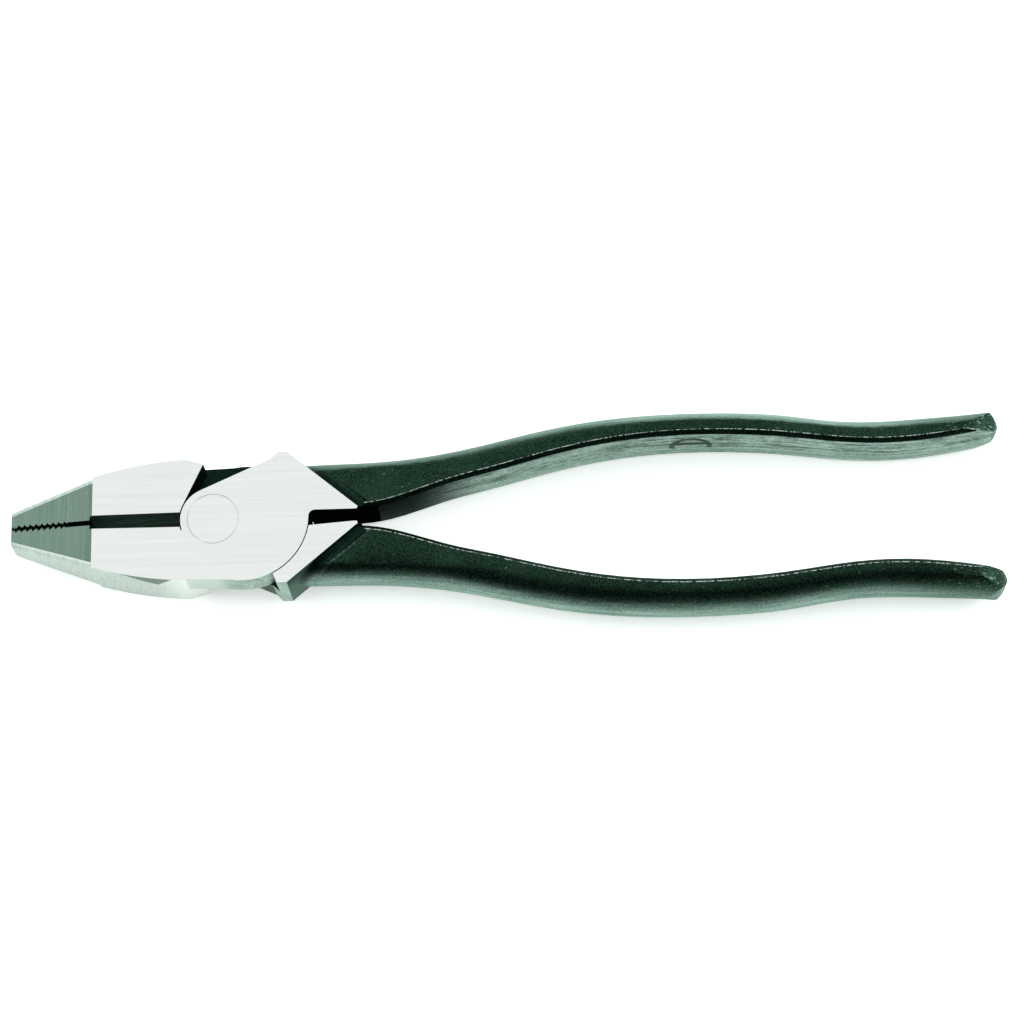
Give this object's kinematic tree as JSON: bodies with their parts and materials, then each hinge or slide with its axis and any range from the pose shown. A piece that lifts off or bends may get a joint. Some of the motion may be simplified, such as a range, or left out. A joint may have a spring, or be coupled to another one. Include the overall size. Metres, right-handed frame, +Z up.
{
  "type": "lineman pliers",
  "caption": "Forged steel high-leverage side-cutting pliers with serrated nose, long knives, flush rivet joint and bare bowed handles.",
  "frame": {"origin": "on the rivet axis, in the ground face of the joint that rests on the bench", "axes": "+X from the rivet toward the handle ends, +Y toward the handle of the half that carries the upper lap plate, +Z up along the rivet"},
  "size_m": [0.2348, 0.0498, 0.0158],
  "materials": {
    "forged_half": "ground bright head, black forged handles",
    "rivet": "ground flush"
  },
  "bodies": {
    "upper_jaw_body": {"upper_jaw_half": "forged_half", "rivet": "rivet"},
    "lower_jaw_body": {"lower_jaw_half": "forged_half"}
  },
  "joints": [
    {"name": "pivot_hinge", "type": "hinge", "parent": "upper_jaw_body", "child": "lower_jaw_body", "pos_m": [0, 0, 0.0079], "axis": [0, 0, 1], "range_deg": [0, 40]}
  ]
}
